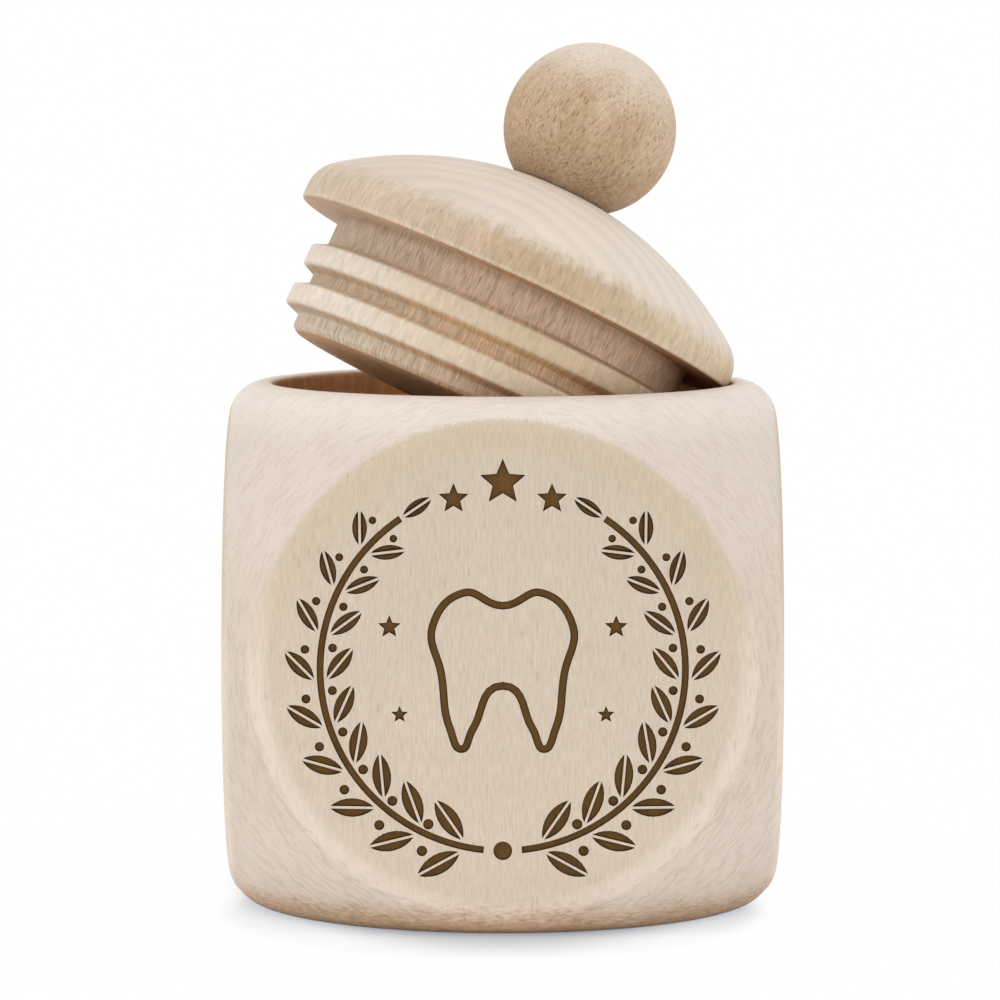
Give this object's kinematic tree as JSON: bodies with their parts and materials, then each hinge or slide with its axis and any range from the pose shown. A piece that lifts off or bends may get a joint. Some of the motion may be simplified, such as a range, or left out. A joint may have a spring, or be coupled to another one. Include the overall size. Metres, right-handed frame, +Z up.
{
  "type": "keepsake box for milk teeth",
  "caption": "Small plain beech keepsake box for milk teeth: a block with ball-rounded corners bored from the top, with a lift-off turned lid that has a ribbed plug and a ball knob.",
  "frame": {"origin": "centre of the flat base, on the surface that the box stands on", "axes": "+Z up along the bore; front with the engraving towards -Y; the lid tips towards +X and a little to the back"},
  "size_m": [0.045, 0.045, 0.0708],
  "materials": {
    "body_beech": "raw beech, fine sanded, with a burnt brown engraving on the front flat",
    "lid_beech": "raw beech, turned and fine sanded",
    "ball_beech": "raw beech, turned, open pores showing",
    "dowel_beech": "raw beech dowel rod"
  },
  "bodies": {
    "box": {"box_body": "body_beech"},
    "lid": {"lid": "lid_beech", "knob_ball": "ball_beech", "knob_dowel": "dowel_beech"}
  },
  "joints": [
    {"name": "lid_lift", "type": "slide", "parent": "box", "child": "lid", "axis": [0, 0, 1], "range_m": [0, 0.05]}
  ]
}
